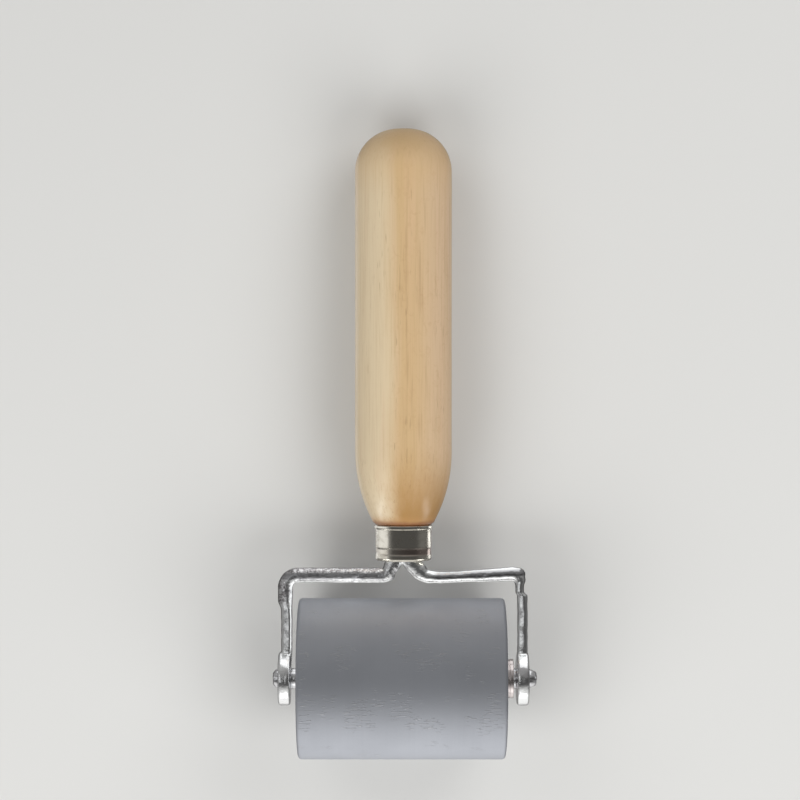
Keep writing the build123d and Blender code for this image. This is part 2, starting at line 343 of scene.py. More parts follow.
def wood_marks(s, colour, heart):
    """Flecks and dark ring lines, fainter in the sapwood."""
    flecks = s.noise((420, 330, 420), detail=3, roughness=0.6, distortion=1.2, offset=(1, 8, 3))
    flecks = s.ramp(flecks, 0.52, 0.72, 0.0, 0.22)
    colour = s.mix(s.times(flecks, s.ramp(heart, 0.0, 1.0, 0.2, 1.0)), colour, FLECKS)
    rings = s.noise((900, 45, 900), detail=2, roughness=0.5, offset=(2, 5, 1))
    rings = s.ramp(rings, 0.56, 0.78, 0.0, 0.34)
    return s.mix(s.times(rings, s.ramp(heart, 0.0, 1.0, 0.3, 1.0)), colour, RING_LINES)


def wood_stains(s, colour, across, bands):
    """The foot's stains, with edges that follow the bands, and the darker butt end."""
    along = s.axis("Y")
    foot = s.ramp(s.plus(along, s.times(bands, 0.006)), 0.078, 0.051)
    colour = s.mix(s.times(foot, s.ramp(across, -0.001, 0.007)), colour, FOOT_STAIN)
    low = s.ramp(s.plus(along, s.times(bands, 0.002)), 0.0530, 0.0495)
    colour = s.mix(s.times(low, 0.6), colour, LOW_STAIN)
    butt = s.ramp(along, 0.146, 0.168)
    colour = s.mix(s.times(butt, 0.6), colour, BUTT_SHADE)
    seam = s.ramp(s.plus(along, s.times(bands, 0.0014)), 0.0508, 0.0492)
    return s.mix(s.times(seam, 0.75), colour, SEAM_STAIN)


# ---------------------------------------------------------------- metals

DRUM_PALE = srgb(211, 215, 223)
DRUM_DULL = srgb(206, 210, 218)
SCUFFS = srgb(236, 237, 240)
NICKEL_BRIGHT = srgb(234, 230, 219)
NICKEL_DULL = srgb(190, 184, 170)
NICKEL_BROWN = srgb(172, 152, 144)
ZINC_BRIGHT = srgb(246, 248, 249)
ZINC_DULL = srgb(206, 204, 208)
ZINC_SPECKS = srgb(112, 110, 116)
ZINC_CRUST = srgb(150, 146, 148)
# The colour of a painted dark reflection along the middle of both arms.
PAINTED_DARK_REFLECTION = srgb(150, 150, 154)
# The painted dark reflection line is level as far as a place on the right arm and rises with it from
# there.
PAINTED_REFLECTION_Y = 0.0314
PAINTED_REFLECTION_RISE = 0.0514
PAINTED_REFLECTION_LEVEL_TO = 0.0115
# How dark the clouds on plain steel are, as a share of its colour.
STEEL_CLOUDS = 0.72


def satin_aluminium():
    s = Surface("satin_aluminium", srgb(218, 221, 226), metallic=1.0, roughness=0.58)
    turning = s.noise((7000, 14, 14), detail=2, roughness=0.6)
    lines = s.noise((1400, 5, 5), detail=3, roughness=0.7, offset=(1, 2, 3))
    cloud = s.noise((60, 60, 60), detail=3, roughness=0.5, offset=(2, 6, 1))
    scuffs = s.noise((430, 3000, 3000), detail=0, offset=(4, 1, 6))
    worn = s.noise((140, 140, 140), detail=2, offset=(8, 1, 0))
    # The scuffs come in worn patches, and more of them in one band along the drum.
    side = s.axis("Y")
    band = s.times(s.ramp(side, 0.001, -0.004), s.ramp(side, -0.015, -0.010))
    worn = s.plus(worn, s.times(band, 0.08))
    scuffs = s.times(s.ramp(scuffs, 0.62, 0.70), s.ramp(worn, 0.55, 0.64))
    colour = s.mix(s.ramp(cloud, 0.35, 0.7), DRUM_PALE, DRUM_DULL)
    s.colour(s.mix(s.times(scuffs, 0.3), colour, SCUFFS))
    s.roughness(s.ramp(lines, 0.25, 0.75, 0.57, 0.60))
    s.bump((turning, 0.002), (scuffs, 0.10))
    return s.material


def nickel_plate():
    s = Surface("nickel_plate", srgb(232, 226, 214), metallic=1.0, roughness=0.16)
    cloud = s.noise((260, 420, 260), detail=3, distortion=0.5)
    scratch = s.noise((90, 3600, 90), detail=3, offset=(2, 0, 4))
    along = s.axis("Y")
    colour = s.mix(s.ramp(cloud, 0.4, 0.7, 0.0, 0.6), NICKEL_BRIGHT, NICKEL_DULL)
    # The rolled band above the lip has gone a little brown, most on the right.
    band = s.times(s.ramp(along, 0.0384, 0.0393), s.ramp(along, 0.0417, 0.0404))
    tarnish = s.times(band, s.ramp(s.axis("X"), -0.006, 0.002, 0.1, 0.8))
    s.colour(s.mix(tarnish, colour, NICKEL_BROWN))
    s.roughness(s.ramp(cloud, 0.3, 0.8, 0.17, 0.32))
    s.bump((cloud, 0.05), (scratch, 0.006))
    return s.material


def zinc_forging():
    s = Surface("zinc_plated_forging", srgb(244, 246, 248), metallic=1.0, roughness=0.18)
    scale = s.noise((600, 600, 600), detail=4, roughness=0.65, distortion=0.4)
    grain = s.noise((1500, 1500, 1500), detail=3, roughness=0.6)
    patches = s.noise((140, 140, 140), detail=3, offset=(3, 7, 2))
    scaly = scaly_part(s)
    colour = s.mix(s.ramp(patches, 0.48, 0.72, 0.0, 0.6), ZINC_BRIGHT, ZINC_DULL)
    colour = s.mix(s.times(s.ramp(scale, 0.54, 0.70, 0.0, 0.75), scaly), colour, ZINC_SPECKS)
    colour = s.mix(s.times(crusted_part(s), s.ramp(grain, 0.38, 0.62, 0.15, 1.0)), colour, ZINC_CRUST)
    # Painted dark reflection: a darker line along the middle of both arms.
    s.colour(s.mix(s.times(painted_reflection_line(s), 0.75), colour, PAINTED_DARK_REFLECTION))
    s.roughness(s.ramp(scale, 0.3, 0.75, 0.12, 0.28))
    s.bump((s.times(scale, scaly), 0.26), (grain, 0.05))
    return s.material


def scaly_part(s):
    """The left arm kept more of the forging scale than the right one."""
    left = s.ramp(s.axis("X"), 0.006, -0.004, 0.3, 1.0)
    return s.times(left, s.ramp(s.axis("Y"), 0.019, 0.027, 0.1, 1.0))


def crusted_part(s):
    """The upper half of the left arm, and its outer bend."""
    across, along = s.axis("X"), s.axis("Y")
    arm = s.times(s.ramp(across, -0.003, -0.008), s.ramp(along, 0.0322, 0.0334))
    bend = s.times(s.ramp(across, -0.0362, -0.0372), s.ramp(along, 0.0225, 0.0245))
    return s.most(arm, bend)


def painted_reflection_line(s):
    """A painted dark reflection: a line along both arms, near the middle of each."""
    across, along = s.axis("X"), s.axis("Y")
    rise = s.times(s.most(across, PAINTED_REFLECTION_LEVEL_TO), PAINTED_REFLECTION_RISE)
    above = s.math("SUBTRACT", s.math("SUBTRACT", along, rise), PAINTED_REFLECTION_Y)
    line = s.times(s.ramp(above, -0.0014, -0.0006), s.ramp(above, 0.0014, 0.0006))
    arms = s.most(s.ramp(across, -0.005, -0.007), s.ramp(across, 0.008, 0.011))
    return s.times(line, arms)


def turned_steel(name, colour, roughness=0.25, turning_depth=0.008):
    """Plain steel with the fine rings of turning about the axle."""
    s = Surface(name, colour, metallic=1.0, roughness=roughness)
    rings = s.noise((5200, 30, 30), detail=3, roughness=0.65)
    cloud = s.noise((300, 300, 300), detail=3)
    darker = tuple(c * STEEL_CLOUDS for c in colour[:3]) + (1.0,)
    s.colour(s.mix(s.ramp(cloud, 0.4, 0.75, 0.0, 0.6), colour, darker))
    s.roughness(s.ramp(rings, 0.3, 0.7, roughness * 0.8, roughness * 1.25))
    s.bump((rings, turning_depth), (cloud, 0.02))
    return s.material


WOOD = wood()
DRUM_METAL = satin_aluminium()
NICKEL = nickel_plate()
ZINC = zinc_forging()
AXLE_STEEL = turned_steel("axle_steel", srgb(228, 229, 232), 0.2, 0.01)
COLLAR_STEEL = turned_steel("collar_steel", srgb(226, 218, 217), 0.24, 0.02)
BEARING_STEEL = turned_steel("bearing_steel", srgb(206, 206, 208), 0.12, 0.002)
PRESSED_STEEL = turned_steel("pressed_steel", srgb(188, 188, 190), 0.32, 0.004)

# ---------------------------------------------------------------- handle

FERRULE_TOP = 48.3
SHOULDER_GAP = 0.02
FOOT_EDGE = 0.35
FOOT_SWELL = 0.05
TAPER_ARC_R = 47.7
BUTT_ARC_R = 13.2
TENON_R = 8.0
TENON_START = 39.3
TANG_BORE_R = 4.0
TANG_BORE_END = 101.0
HANDLE_SIDES = 160
HANDLE_STEP = 1.2
TAPER_STEPS = 36
BUTT_STEPS = 22
SANDED_OFF = 0.05
SANDING_SWAY = 0.10
SANDING_RIPPLE = 0.025
SANDING_FADES_R = 6.0


def handle_shape(place, radius, angle):
    """Hand sanding leaves the turned shape a little uneven."""
    spot = Vector((math.cos(angle) * 1.3, place / 26, math.sin(angle) * 1.3))
    sway = noise.noise(spot) * SANDING_SWAY
    ripple = noise.noise(spot * 4.1 + Vector((7, 3, 1))) * SANDING_RIPPLE
    keep = min(1.0, radius / SANDING_FADES_R)
    return place, radius - SANDED_OFF + (sway + ripple) * keep


def handle():
    foot_run = GRIP_START - FERRULE_TOP
    foot_deg = math.degrees(math.asin(foot_run / TAPER_ARC_R))
    taper = arc((GRIP_START, HANDLE_R - TAPER_ARC_R), TAPER_ARC_R, 90 + foot_deg, 90, TAPER_STEPS)
    foot_r = taper[0][1]
    taper[0] = (FERRULE_TOP + FOOT_EDGE, foot_r + FOOT_SWELL)
    butt = arc((GRIP_END, HANDLE_R - BUTT_ARC_R), BUTT_ARC_R, 90, 0, BUTT_STEPS)
    shoulder = FERRULE_TOP + SHOULDER_GAP
    section = [(TANG_BORE_END, 0), (TANG_BORE_END, TANG_BORE_R), (TENON_START, TANG_BORE_R)]
    section += [(TENON_START, TENON_R), (shoulder, TENON_R), (shoulder, foot_r - FOOT_EDGE)]
    section += refined(taper + butt, HANDLE_STEP)
    section.append((GRIP_END + BUTT_ARC_R, 0))
    bm = lathe(section, HANDLE_SIDES, "handle", shape=handle_shape)
    new_piece("turned_handle", bm, "frame", "handle", WOOD)


# ---------------------------------------------------------------- ferrule

FERRULE_R = 8.75
FERRULE_BOTTOM = 36.9
FERRULE_WALL = 0.7
FERRULE_MOUTH_R = 5.9
FERRULE_SIDES = 128
FERRULE_STEP = 0.4
FERRULE_ROUND = 0.12
MOUTH_EDGE = 0.35
LIP_ARC_R = 0.9
LIP_TOP = 38.7
BAND_TOP = 41.2
BAND_DEPTH = 0.13
BEAD_START = 46.8
BEAD_MIDDLE = 47.25
BEAD_R = 9.05
PRESSING_SWAY = 0.035


def ferrule_shape(place, radius, angle):
    """Pressing leaves the cap a little uneven."""
    spot = Vector((math.cos(angle) * 1.6, place / 5, math.sin(angle) * 1.6))
    return place, radius + noise.noise(spot) * PRESSING_SWAY


def ferrule_outside():
    """The outside, from the turned-in mouth over the lip, band and bead to the top."""
    points = [(FERRULE_BOTTOM + MOUTH_EDGE, FERRULE_MOUTH_R)]
    points += [(FERRULE_BOTTOM, FERRULE_MOUTH_R + MOUTH_EDGE)]
    points += [(FERRULE_BOTTOM + 0.05, FERRULE_R - 1.5)]
    points += arc((FERRULE_BOTTOM + 0.95, FERRULE_R - LIP_ARC_R), LIP_ARC_R, 195, 90)
    points += [(LIP_TOP, FERRULE_R), (LIP_TOP + 0.5, FERRULE_R - BAND_DEPTH)]
    points += [(BAND_TOP - 0.6, FERRULE_R - BAND_DEPTH), (BAND_TOP, FERRULE_R - 0.02)]
    points += [(BEAD_START, FERRULE_R - 0.06), (BEAD_START + 0.1, BEAD_R - 0.06)]
    points += [(BEAD_MIDDLE, BEAD_R), (BEAD_MIDDLE + 0.5, BEAD_R)]
    points += [(FERRULE_TOP - 0.35, BEAD_R - 0.12), (FERRULE_TOP - 0.2, FERRULE_R)]
    return points + [(FERRULE_TOP, FERRULE_R - 0.25)]


def ferrule_inside():
    """The inside, from the top down to the upper face of the turned-in mouth."""
    points = [(FERRULE_TOP, FERRULE_R - FERRULE_WALL)]
    points += [(FERRULE_BOTTOM + 1.5, FERRULE_R - FERRULE_WALL)]
    points += [(FERRULE_BOTTOM + 1.0, FERRULE_R - 2 * FERRULE_WALL)]
    return points + [(FERRULE_BOTTOM + FERRULE_WALL, FERRULE_MOUTH_R)]


def ferrule():
    outside = rounded(ferrule_outside(), FERRULE_ROUND, 3)
    section = refined(outside, FERRULE_STEP) + ferrule_inside()
    bm = lathe(section, FERRULE_SIDES, "handle", closed=True, shape=ferrule_shape)
    new_piece("pressed_ferrule", bm, "frame", "ferrule", NICKEL)


# ---------------------------------------------------------------- drum

POCKET_R = 7.95
POCKET_DEPTH = 5.478
POCKET_EDGE = 0.35
BORE_R = 6.65
DRUM_EDGE_R = 1.1
FACING_START_R = 8.55
FACING_DEPTH = 0.025
FACING_RINGS = 22
DRUM_SIDES = 256
DRUM_STEP = 2.0


def end_face(x, inward, from_r, to_r):
    """Points up an end face with the shallow rings that facing leaves."""
    points = []
    for i in range(FACING_RINGS + 1):
        r = from_r + (to_r - from_r) * i / FACING_RINGS
        points.append((x + inward * FACING_DEPTH * (i % 2), r))
    return points


def drum():
    rim = DRUM_R - DRUM_EDGE_R
    left = [(DRUM_LEFT + POCKET_EDGE, POCKET_R), (DRUM_LEFT, POCKET_R + POCKET_EDGE)]
    left += end_face(DRUM_LEFT, 1, FACING_START_R, rim)
    left += arc((DRUM_LEFT + DRUM_EDGE_R, rim), DRUM_EDGE_R, 180, 90)
    right = arc((DRUM_RIGHT - DRUM_EDGE_R, rim), DRUM_EDGE_R, 90, 0)
    right += end_face(DRUM_RIGHT, -1, rim, FACING_START_R)
    right += [(DRUM_RIGHT, POCKET_R + POCKET_EDGE), (DRUM_RIGHT - POCKET_EDGE, POCKET_R)]
    inside = [(DRUM_RIGHT - POCKET_DEPTH, POCKET_R), (DRUM_RIGHT - POCKET_DEPTH, BORE_R)]
    inside += [(DRUM_LEFT + POCKET_DEPTH, BORE_R), (DRUM_LEFT + POCKET_DEPTH, POCKET_R)]
    section = left + refined([left[-1], right[0]], DRUM_STEP)[1:-1] + right + inside
    bm = lathe(section, DRUM_SIDES, "axle", closed=True)
    piece = new_piece("turned_drum", bm, "drum_unit", "drum", DRUM_METAL)
    # Out of the other metals' reflections, so that the yoke mirrors the lights and the tent.
    piece.visible_glossy = False


# ---------------------------------------------------------------- fork

EAR_R = 8.35
EAR_INNER = 35.3
EAR_OUTER = 39.0
EAR_EDGE_R = 0.75
EAR_SIDES = 96
TANG_SIDES = 48
BEND_STEPS = 12
BAR_STEP = 0.5
BAR_SIDES = 40
BAR_SWELL = 0.04
FORK_VOXEL = 0.24
SOFTENING = 0.5
SOFTENING_ROUNDS = 4
# Dents: how deep, and the place along the handle from which they are rough.
BROAD_DENT = 0.07
FINE_DENT = 0.05
ROUGH_FROM = 24.0


def bent_path(corners, bends):
    """Points along straight runs joined by tangent arcs."""
    points = [Vector(corners[0])]
    for before, here, after, radius in zip(corners, corners[1:], corners[2:], bends):
        here = Vector(here)
        back = (Vector(before) - here).normalized()
        on = (Vector(after) - here).normalized()
        half = back.angle(on) / 2
        cut = radius / math.tan(half)
        middle = here + (back + on).normalized() * radius / math.sin(half)
        start, end = here + back * cut, here + on * cut
        for i in range(BEND_STEPS + 1):
            way = (start - middle).lerp(end - middle, i / BEND_STEPS).normalized()
            points.append(middle + way * radius)
    points.append(Vector(corners[-1]))
    return points


def evenly_spaced(points, step):
    """Points about a step apart along the same line."""
    lengths = [0.0]
    for a, b in zip(points, points[1:]):
        lengths.append(lengths[-1] + (b - a).length)
    count = round(lengths[-1] / step)
    out = []
    k = 0
    for i in range(count + 1):
        want = lengths[-1] * i / count
        while k < len(points) - 2 and lengths[k + 1] < want:
            k += 1
        share = (want - lengths[k]) / max(1e-9, lengths[k + 1] - lengths[k])
        out.append(points[k].lerp(points[k + 1], share))
    return out


def along_stations(stations, share):
    """Smoothly interpolates rows of (share, values...) at a share of the path."""
    for low, high in zip(stations, stations[1:]):
        if share <= high[0]:
            t = (share - low[0]) / (high[0] - low[0])
            t = t * t * (3 - 2 * t)
            return [a + (b - a) * t for a, b in zip(low[1:], high[1:])]
    return list(stations[-1][1:])


def bar_ring(bm, centre, across, width, deep, square, slope):
    """One section of a bar: a rounded box, squarer as square rises, and a little uneven."""
    ring = []
    for j in range(BAR_SIDES):
        angle = 2 * math.pi * j / BAR_SIDES
        c, s = math.cos(angle), math.sin(angle)
        out = 1 / (abs(c) ** square + abs(s) ** square) ** (1 / square)
        swell = 1 + noise.noise(Vector((centre.x / 5 + c / 2, centre.y / 5, s / 2))) * BAR_SWELL
        x = centre.x + across.x * c * out * width * swell
        y = centre.y + across.y * c * out * width * swell
        z = s * out * deep * swell + max(0.0, s) * slope * c * out * width
        ring.append(bm.verts.new(Vector((x, y, z)) * MM))
    return ring


def bar(bm, corners, bends, stations, side):
    """A forged bar in the yoke's plane; side is -1 for the left arm and 1 for the right."""
    path = evenly_spaced(bent_path(corners, bends), BAR_STEP)
    rings = []
    for i, at in enumerate(path):
        width, deep, square, shift, slope = along_stations(stations, i / (len(path) - 1))
        ahead = path[min(i + 1, len(path) - 1)] - path[max(i - 1, 0)]
        ahead.normalize()
        across = Vector((ahead.y, -ahead.x)) * side
        rings.append(bar_ring(bm, at + across * shift, across, width, deep, square, slope))
    for low, high in zip(rings, rings[1:]):
        skin(bm, low, high)
    bm.faces.new(rings[0])
    bm.faces.new(rings[-1])


def lump(bm, at, radii):
    """A small rounded swelling in the forging."""
    made = bmesh.ops.create_icosphere(bm, subdivisions=3, radius=1.0)
    for vert in made["verts"]:
        vert.co = Vector(a + r * c for a, r, c in zip(at, radii, vert.co)) * MM


def ear(bm, side):
    """The round ear that an arm ends in, with the axle's end through it."""
    inner, outer = sorted((side * EAR_INNER, side * EAR_OUTER))
    rim = EAR_R - EAR_EDGE_R
    section = [(inner, 0), (inner, rim)]
    section += arc((inner + EAR_EDGE_R, rim), EAR_EDGE_R, 180, 90, 5)
    section += arc((outer - EAR_EDGE_R, rim), EAR_EDGE_R, 90, 0, 5)
    section += [(outer, 0)]
    add_solid(bm, lathe(refined(section, 0.8), EAR_SIDES, "axle"))


def add_solid(bm, other):
    """Copies another closed mesh into bm."""
    mesh = bpy.data.meshes.new("solid")
    other.to_mesh(mesh)
    other.free()
    bm.from_mesh(mesh)
    bpy.data.meshes.remove(mesh)


# Corners and bends of the two arms, as (x, y), and the shape of the bar along each arm as
# (share of the length, half width, half depth, squareness, shift towards the drum, rise of
# the upper face towards the drum).
ARM_START = 39.2
LEFT_ARM = [(-2.8, ARM_START), (-3.1, 36.4), (-5.2, 32.2), (-36.93, 32.35), (-36.93, 0.0)]
LEFT_BENDS = [2.0, 1.6, 4.0]
LEFT_BAR = [
    (0.00, 2.6, 2.7, 2.4, 0.0, 0.0),
    (0.04, 2.6, 2.6, 2.3, 0.0, 0.0),
    (0.09, 2.25, 2.4, 2.1, 0.0, 0.0),
    (0.16, 2.30, 2.35, 2.0, 0.0, 0.0),
    (0.45, 2.30, 2.35, 2.0, 0.0, 0.0),
    (0.60, 2.32, 2.35, 2.0, 0.0, 0.0),
    (0.65, 2.28, 2.45, 2.1, 0.0, 0.15),
    (0.69, 1.80, 2.9, 3.2, 0.40, 0.25),
    (0.76, 1.74, 2.9, 3.6, 0.48, 0.30),
    (0.88, 1.72, 2.9, 3.6, 0.45, 0.25),
    (1.00, 1.60, 2.9, 4.0, 0.0, 0.0),
]
RIGHT_ARM = [(1.9, ARM_START), (2.2, 36.4), (6.4, 32.0), (11.5, 31.5), (36.8, 32.8), (36.95, 0.0)]
RIGHT_BENDS = [2.4, 4.5, 20.0, 3.0]
RIGHT_BAR = [
    (0.00, 2.5, 2.7, 2.4, 0.0, 0.0),
    (0.04, 2.6, 2.6, 2.3, 0.0, 0.0),
    (0.09, 2.65, 2.5, 2.1, 0.0, 0.0),
    (0.135, 2.2, 2.3, 2.0, 0.0, 0.0),
    (0.18, 1.9, 2.2, 2.0, 0.0, 0.0),
    (0.25, 1.8, 2.1, 2.0, 0.0, 0.0),
    (0.42, 2.05, 2.25, 2.0, 0.0, 0.0),
    (0.53, 2.25, 2.35, 2.0, 0.0, 0.0),
    (0.565, 1.85, 2.4, 2.0, 0.25, 0.0),
    (0.590, 1.35, 2.5, 2.2, 0.55, 0.0),
    (0.618, 1.35, 2.6, 2.4, 0.55, 0.0),
    (0.632, 1.66, 2.7, 2.8, -0.28, -0.1),
    (0.70, 1.60, 2.8, 3.2, -0.28, -0.2),
    (0.90, 1.60, 2.8, 4.0, -0.20, -0.1),
    (1.00, 1.60, 2.9, 4.0, 0.0, 0.0),
]
# The tang's section, and the swellings as (middle, radii): at the right arm's outer bend, where
# the arms leave the ferrule, and at the left arm's inner bend.
TANG = [(38.6, 0), (38.6, 3.9), (96.0, 3.9), (99.0, 1.8), (99.0, 0)]
LUMPS = [
    ((35.7, 32.55, 0.1), (2.4, 2.15, 2.2)),
    ((-0.5, 37.9, 0.0), (4.8, 2.1, 2.7)),
    ((-4.4, 32.4, 0.0), (1.8, 1.9, 2.2)),
]


def forged_together(bm):
    """Joins the overlapping solids into one skin and softens the joins."""
    mesh = bpy.data.meshes.new("forging")
    bmesh.ops.recalc_face_normals(bm, faces=bm.faces)
    bm.to_mesh(mesh)
    bm.free()
    made = bpy.data.objects.new("forging", mesh)
    bpy.context.collection.objects.link(made)
    remesh = made.modifiers.new("remesh", "REMESH")
    remesh.mode = "VOXEL"
    remesh.voxel_size = FORK_VOXEL * MM
    soften = made.modifiers.new("soften", "SMOOTH")
    soften.factor = SOFTENING
    soften.iterations = SOFTENING_ROUNDS
    depsgraph = bpy.context.evaluated_depsgraph_get()
    done = bpy.data.meshes.new_from_object(made.evaluated_get(depsgraph))
    bpy.data.objects.remove(made)
    bpy.data.meshes.remove(mesh)
    out = bmesh.new()
    out.from_mesh(done)
    bpy.data.meshes.remove(done)
    return out


def dent(bm):
    """Leaves the skin uneven, roughest on the left arm and smoothest towards the ears."""
    bm.normal_update()
    for vert in bm.verts:
        at = vert.co / MM
        on_arm = at.y > ROUGH_FROM
        rough = 0.55 + 0.45 * noise.noise(at * 0.08) + (0.3 if at.x < 0 and on_arm else 0.0)
        rough *= 1.0 if on_arm else 0.4
        depth = noise.noise(at * 0.45) * BROAD_DENT + noise.noise(at * 1.5) * FINE_DENT * rough
        vert.co += vert.normal * depth * MM


def fork():
    bm = bmesh.new()
    bar(bm, LEFT_ARM, LEFT_BENDS, LEFT_BAR, side=-1)
    bar(bm, RIGHT_ARM, RIGHT_BENDS, RIGHT_BAR, side=1)
    for at, radii in LUMPS:
        lump(bm, at, radii)
    for side in (-1, 1):
        ear(bm, side)
    add_solid(bm, lathe(refined(TANG, 2.0), TANG_SIDES, "handle"))
    bm = forged_together(bm)
    dent(bm)
    new_piece("forged_yoke", bm, "frame", "fork", ZINC, smooth_deg=60)


# ---------------------------------------------------------------- axle and collar

SHANK_R = 3.155
SHANK_EDGE = 0.15
JOURNAL_R = 2.38
SHOULDER = EAR_INNER - 0.01
HEAD_START = EAR_OUTER + 0.02
COLLAR_BORE_R = 3.175
COLLAR_NECK_R = 4.4
COLLAR_NECK = 0.5
COLLAR_ROUND = 0.3
COLLAR_SIDES = 128
AXLE_SIDES = 72
# The collar's groove, from the flange's inner face.
GROOVE_START = 1.1
GROOVE_WIDTH = 0.45
GROOVE_SLOPE = 0.1
GROOVE_DEPTH = 0.14


def peened(place, radius, angle):
    """Hammering leaves the heads lumpy; the shank stays true."""
    if abs(place) < EAR_OUTER:
        return place, radius
    spot = Vector((place * 0.9, radius * math.cos(angle) * 0.8, radius * math.sin(angle) * 0.8))
    return place + noise.noise(spot) * 0.18, radius * (1 + noise.noise(spot * 1.3) * 0.07)


def left_head():
    """The left head, a low dome, from its tip to the journal."""
    dome = arc((-HEAD_START - 0.2, 1.2), 1.62, 170, 95)
    rim = [(-HEAD_START - 0.05, 2.85), (-HEAD_START, 2.7)]
    return [(AXLE_LEFT, 0)] + dome + rim + [(-HEAD_START, JOURNAL_R)]


def right_head():
    """The right head, a taller button, from the journal to its tip."""
    rim = [(HEAD_START, 2.75), (HEAD_START + 0.15, 2.875), (HEAD_START + 0.55, 2.8)]
    button = [(AXLE_RIGHT - 1.2, 2.55), (AXLE_RIGHT - 0.4, 2.2), (AXLE_RIGHT - 0.1, 1.85)]
    return [(HEAD_START, JOURNAL_R)] + rim + button + [(AXLE_RIGHT, 1.45), (AXLE_RIGHT, 0)]


def axle():
    section = left_head() + [(-SHOULDER, JOURNAL_R)]
    section += [(-SHOULDER, SHANK_R - SHANK_EDGE), (-SHOULDER + SHANK_EDGE, SHANK_R)]
    section += [(SHOULDER - SHANK_EDGE, SHANK_R), (SHOULDER, SHANK_R - SHANK_EDGE)]
    section += [(SHOULDER, JOURNAL_R)] + right_head()
    bm = lathe(refined(section, 1.0), AXLE_SIDES, "axle", shape=peened)
    new_piece("peened_axle", bm, "frame", "axle", AXLE_STEEL, smooth_deg=50)


def collar():
    flange = COLLAR_LEFT + COLLAR_NECK
    groove = flange + GROOVE_START
    groove_end = groove + GROOVE_WIDTH
    groove_r = COLLAR_R - GROOVE_DEPTH
    section = [(COLLAR_LEFT, COLLAR_BORE_R + 0.1), (COLLAR_LEFT, COLLAR_NECK_R)]
    section += [(flange, COLLAR_NECK_R), (flange, COLLAR_R), (groove, COLLAR_R)]
    section += [(groove + GROOVE_SLOPE, groove_r), (groove_end - GROOVE_SLOPE, groove_r)]
    section += [(groove_end, COLLAR_R), (COLLAR_RIGHT, COLLAR_R), (COLLAR_RIGHT, COLLAR_BORE_R)]
    bm = lathe(rounded(section, COLLAR_ROUND, closed=True), COLLAR_SIDES, "axle", closed=True)
    new_piece(
        "turned_collar", bm, "bearing_core", "thrust_collar", COLLAR_STEEL
    )


def bearing_parts():
    """The bearings keep their CAD shapes, with polished or pressed steel."""
    for name, node in frame["nodes"].items():
        ground = ("ring" in name and "snap" not in name) or "balls" in name or "sleeve" in name
        if ground:
            node.material_slots[0].material = BEARING_STEEL
        elif "shield" in name or "cage" in name or "snap" in name:
            node.material_slots[0].material = PRESSED_STEEL


# ---------------------------------------------------------------- floor, lights and camera

# From the floor's middle to its sides, in metres.
FLOOR_REACH = 40.0


def floor():
    mesh = bpy.data.meshes.new("floor")
    bm = bmesh.new()
    bmesh.ops.create_grid(bm, x_segments=1, y_segments=1, size=FLOOR_REACH)
    bm.to_mesh(mesh)
    bm.free()
    s = Surface("pale_floor", srgb(214, 214, 212), roughness=0.6)
    mesh.materials.append(s.material)
    made = bpy.data.objects.new("floor", mesh)
    bpy.context.collection.objects.link(made)
    # Out of reflections, so that it doesn't hide the tent below the tool from the metals.
    made.visible_glossy = False


def softbox(name, at, width, height, power, aim):
    """A soft light at a place in the tool's axes, facing another."""
    light = bpy.data.lights.new(name, "AREA")
    light.shape = "RECTANGLE"
    light.size = width * MM
    light.size_y = height * MM
    light.energy = power
    made = bpy.data.objects.new(name, light)
    bpy.context.collection.objects.link(made)
    place = TOOL @ (Vector(at) * MM)
    target = TOOL @ (Vector(aim) * MM)
    made.location = place
    made.rotation_euler = (target - place).to_track_quat("-Z", "Y").to_euler()
    return made


# The tent's panels, as (axis, sign, where the panel starts and is full, light at full): each
# start and full is the share of the axis in the direction looked at.
TENT_PANELS = [
    ("Y", -1, 0.26, 0.98, 0.93),
    ("Y", 1, 0.10, 0.70, 0.26),
    ("X", -1, 0.70, 0.98, 0.20),
    ("X", 1, 0.80, 1.00, 0.08),
    ("Z", -1, 0.85, 1.00, 0.25),
]
OPENING_LIGHT = 0.075
TENT_COLOUR = (1.0, 0.985, 0.965, 1.0)


def studio_tent():
    """A pale light tent: panels of uneven brightness, with soft edges, in a dim round."""
    world = bpy.data.worlds.new("studio")
    world.use_nodes = True
    nodes = world.node_tree.nodes
    links = world.node_tree.links
    towards = nodes.new("ShaderNodeSeparateXYZ")
    links.new(nodes.new("ShaderNodeTexCoord").outputs["Generated"], towards.inputs["Vector"])
    light = nodes.new("ShaderNodeValue")
    light.outputs[0].default_value = OPENING_LIGHT
    light = light.outputs[0]
    for letter, sign, start, full, most in TENT_PANELS:
        panel = nodes.new("ShaderNodeMapRange")
        panel.interpolation_type = "SMOOTHSTEP"
        links.new(towards.outputs[letter], panel.inputs["Value"])
        numbers = {"From Min": sign * start, "From Max": sign * full, "To Min": 0.0, "To Max": most}
        for key, number in numbers.items():
            panel.inputs[key].default_value = number
        total = nodes.new("ShaderNodeMath")
        links.new(light, total.inputs[0])
        links.new(panel.outputs["Result"], total.inputs[1])
        light = total.outputs[0]
    nodes["Background"].inputs["Color"].default_value = TENT_COLOUR
    links.new(light, nodes["Background"].inputs["Strength"])
    bpy.context.scene.world = world


LIT_MIDDLE = Vector((0, 80, 0))
SOFTBOX_SIZE = 460.0
SOFTBOX_DISTANCE = 700.0
SOFTBOX_HEIGHT_DEG = 42.0
# The four keys, as name: (angle from the right, power in W).
SOFTBOXES = {
    "front_left": (225, 2.25),
    "front_right": (315, 2.15),
    "back_left": (135, 0.9),
    "back_right": (45, 1.5),
}
WOOD_PIECES = ("turned_handle", "pressed_ferrule")
FERRULE_PIECES = ("pressed_ferrule",)
STEEL_PIECES = ("forged_yoke", "peened_axle", "turned_collar")
AXLE_PIECES = ("peened_axle", "turned_collar")
DRUM_PIECES = ("turned_drum",)
